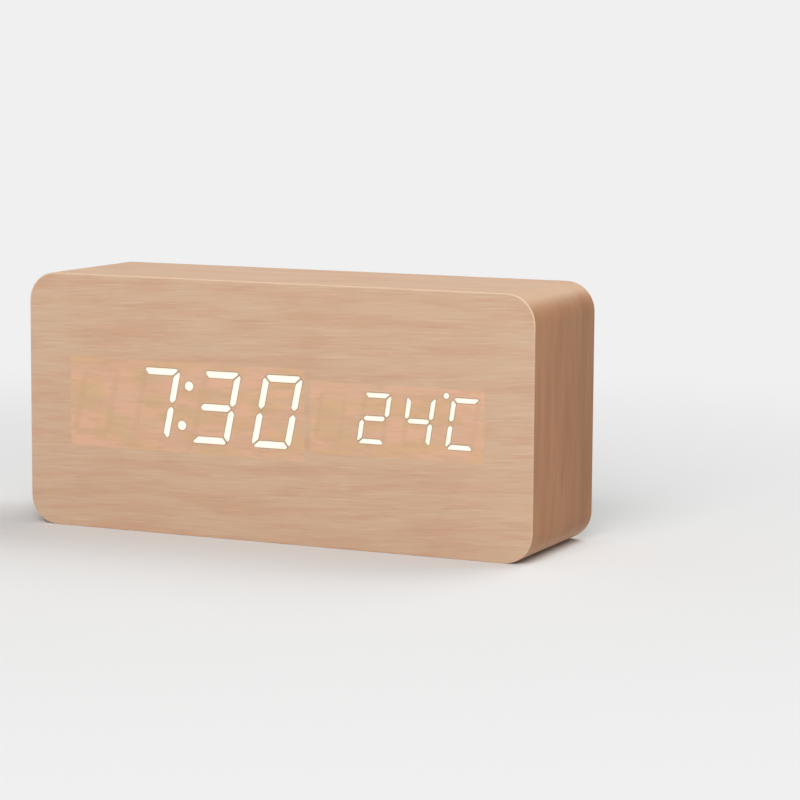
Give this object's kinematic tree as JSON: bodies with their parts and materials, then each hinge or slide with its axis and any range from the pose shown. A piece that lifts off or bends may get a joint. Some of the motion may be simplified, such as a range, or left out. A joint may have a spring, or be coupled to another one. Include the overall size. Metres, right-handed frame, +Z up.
{
  "type": "digital led desk clock",
  "caption": "Block-shaped wood-grain desk clock with glowing seven-segment time and temperature on its plain front, and buttons, a socket and a battery door behind.",
  "frame": {"origin": "middle of the underside", "axes": "+X along the block to the right as the front is read, -Y out of the front, +Z up"},
  "size_m": [0.15, 0.043, 0.07],
  "materials": {
    "mdf": "raw pressed fibre",
    "front_grain_film": "wood-grain print, satin",
    "side_grain_film": "wood-grain print, satin",
    "base_grain_film": "wood-grain print, satin",
    "rear_grain_film": "wood-grain print, satin",
    "reflector_white": "matt white",
    "lit_bar": "glowing warm white",
    "unlit_bar": "milky",
    "chip_yellow": "phosphor yellow",
    "circuit_green": "solder mask",
    "nylon": "natural nylon",
    "screw_steel": "zinc plated",
    "black_screw": "black oxide",
    "chip_black": "moulded",
    "crystal_can": "drawn can",
    "capacitor_sleeve": "shrink sleeve",
    "black_abs": "fine spark texture",
    "black_abs_door": "fine spark texture",
    "black_abs_latch": "fine spark texture",
    "cell_sleeve": "printed sleeve",
    "nickel_strip": "nickel plated",
    "nickel_wire": "nickel plated",
    "switch_black": "moulded",
    "plunger_black": "moulded",
    "button_black": "satin",
    "socket_steel": "tin plated",
    "socket_black": "moulded",
    "buzzer_black": "moulded",
    "thermistor_bead": "epoxy bead",
    "red_wire": "pvc sleeve",
    "black_wire": "pvc sleeve",
    "cable_grey": "pvc ribbon",
    "plug_white": "moulded"
  },
  "bodies": {
    "case": {"case_ring": "mdf", "front_board": "mdf", "rear_board": "mdf", "front_film": "front_grain_film", "side_wrap": "side_grain_film", "base_strip": "base_grain_film", "rear_film": "rear_grain_film", "time_reflector": "reflector_white", "temperature_reflector": "reflector_white", "time_bars_lit": "lit_bar", "temperature_bars_lit": "lit_bar", "time_bars_unlit": "unlit_bar", "temperature_bars_unlit": "unlit_bar", "led_chips": "chip_yellow", "display_board": "circuit_green", "key_board": "circuit_green", "board_spacers": "nylon", "board_screws": "screw_steel", "insert_screws": "black_screw", "key_board_screws": "screw_steel", "controller_chip": "chip_black", "driver_chips": "chip_black", "quartz_crystal": "crystal_can", "capacitor": "capacitor_sleeve", "rear_insert": "black_abs", "battery_cells": "cell_sleeve", "contact_plates": "nickel_strip", "contact_springs": "nickel_wire", "switch_bodies": "switch_black", "usb_shell": "socket_steel", "usb_tongue": "socket_black", "buzzer": "buzzer_black", "microphone": "crystal_can", "thermistor": "thermistor_bead", "positive_lead": "red_wire", "negative_lead": "black_wire", "flat_cable": "cable_grey", "cable_plugs": "plug_white"},
    "door": {"battery_door": "black_abs_door"},
    "latch": {"door_latch": "black_abs_latch"},
    "set_key": {"set_button": "button_black", "set_plunger": "plunger_black"},
    "down_key": {"down_button": "button_black", "down_plunger": "plunger_black"},
    "up_key": {"up_button": "button_black", "up_plunger": "plunger_black"}
  },
  "joints": [
    {"name": "door_hinge", "type": "hinge", "parent": "case", "child": "door", "pos_m": [-0.0532, 0.0215, 0.035], "axis": [0, 0, 1], "range_deg": [0, 80]},
    {"name": "latch_bend", "type": "hinge", "parent": "door", "child": "latch", "pos_m": [0.0027, 0.0135, 0.035], "axis": [0, 0, 1], "range_deg": [0, 8], "stiffness_Nm_per_rad": 0.1},
    {"name": "set_press", "type": "slide", "parent": "case", "child": "set_key", "axis": [0, -1, 0], "range_m": [0, 0.0005], "stiffness_N_per_m": 2000},
    {"name": "down_press", "type": "slide", "parent": "case", "child": "down_key", "axis": [0, -1, 0], "range_m": [0, 0.0005], "stiffness_N_per_m": 2000},
    {"name": "up_press", "type": "slide", "parent": "case", "child": "up_key", "axis": [0, -1, 0], "range_m": [0, 0.0005], "stiffness_N_per_m": 2000}
  ]
}
